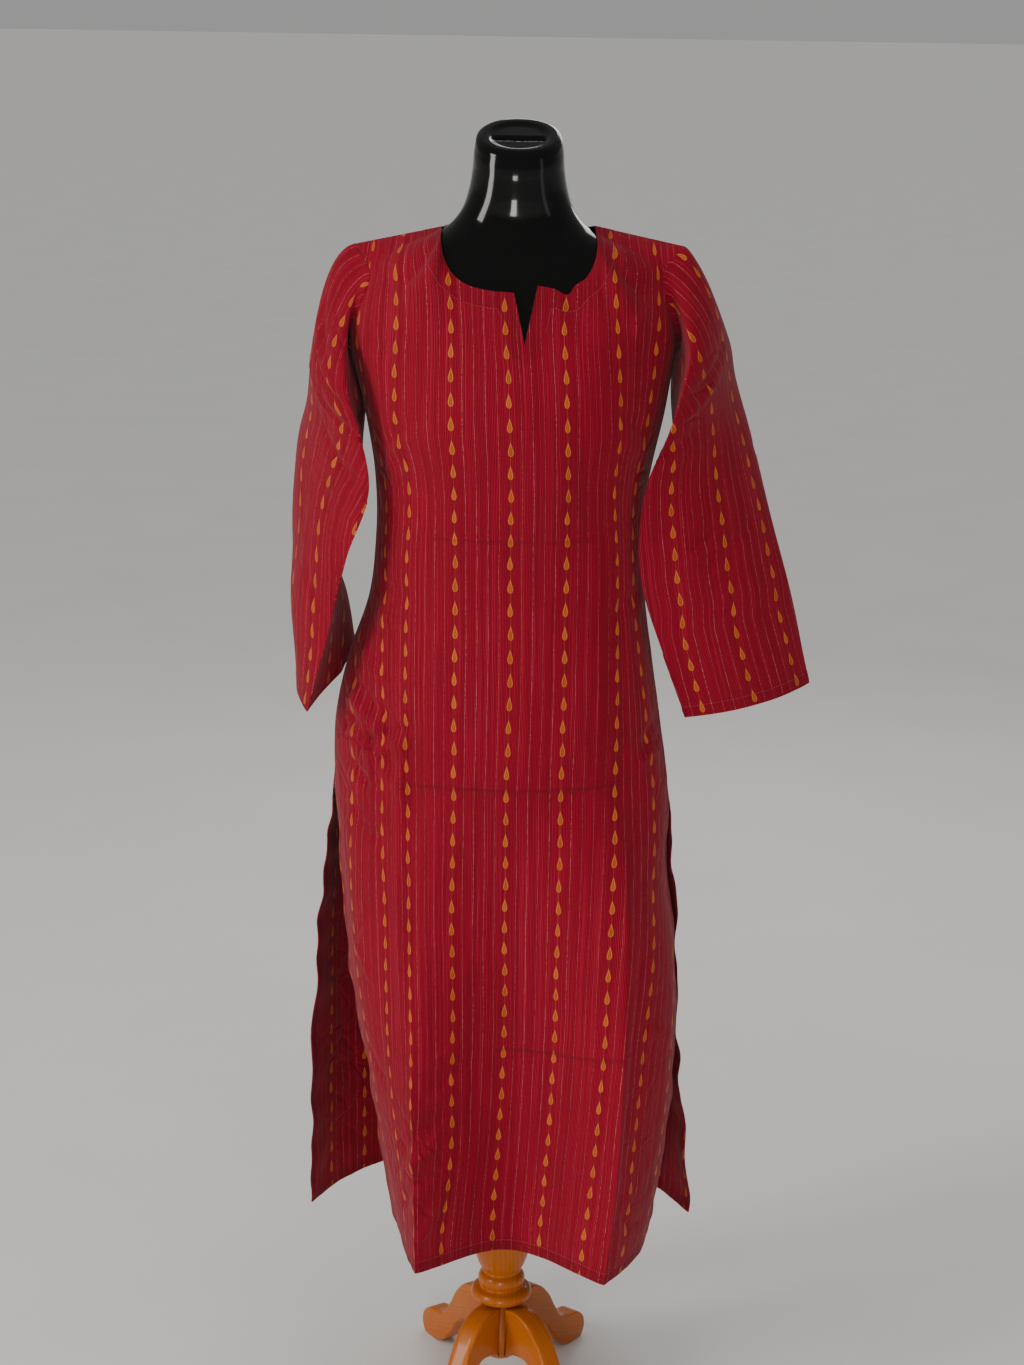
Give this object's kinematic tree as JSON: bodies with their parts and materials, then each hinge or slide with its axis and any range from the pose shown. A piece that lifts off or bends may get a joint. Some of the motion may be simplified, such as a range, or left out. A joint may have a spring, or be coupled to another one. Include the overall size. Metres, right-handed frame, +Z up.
{
  "type": "kurta tunic on a dress form with wooden stand",
  "caption": "Long cotton kurta with side slits, open sleeves and a notched round neck, worn by a limbless dress form on a turned wooden stand.",
  "frame": {"origin": "middle of the whole footprint, on the floor", "axes": "+Z up, the front of the kurta faces -Y, the wearer's right sleeve hangs at -X"},
  "size_m": [0.5911, 0.3338, 1.5226],
  "materials": {
    "crimson_cotton": "matt woven cotton with pinstripes and small printed drops",
    "gloss_black": "glossy black lacquer",
    "varnished_wood": "honey-brown varnish"
  },
  "bodies": {
    "root": {"kurta_front": "crimson_cotton", "kurta_back": "crimson_cotton", "sleeve_left": "crimson_cotton", "sleeve_right": "crimson_cotton", "form_torso": "gloss_black", "form_post": "varnished_wood", "leg_front_left": "varnished_wood", "leg_front_right": "varnished_wood", "leg_back_right": "varnished_wood", "leg_back_left": "varnished_wood"}
  },
  "joints": []
}
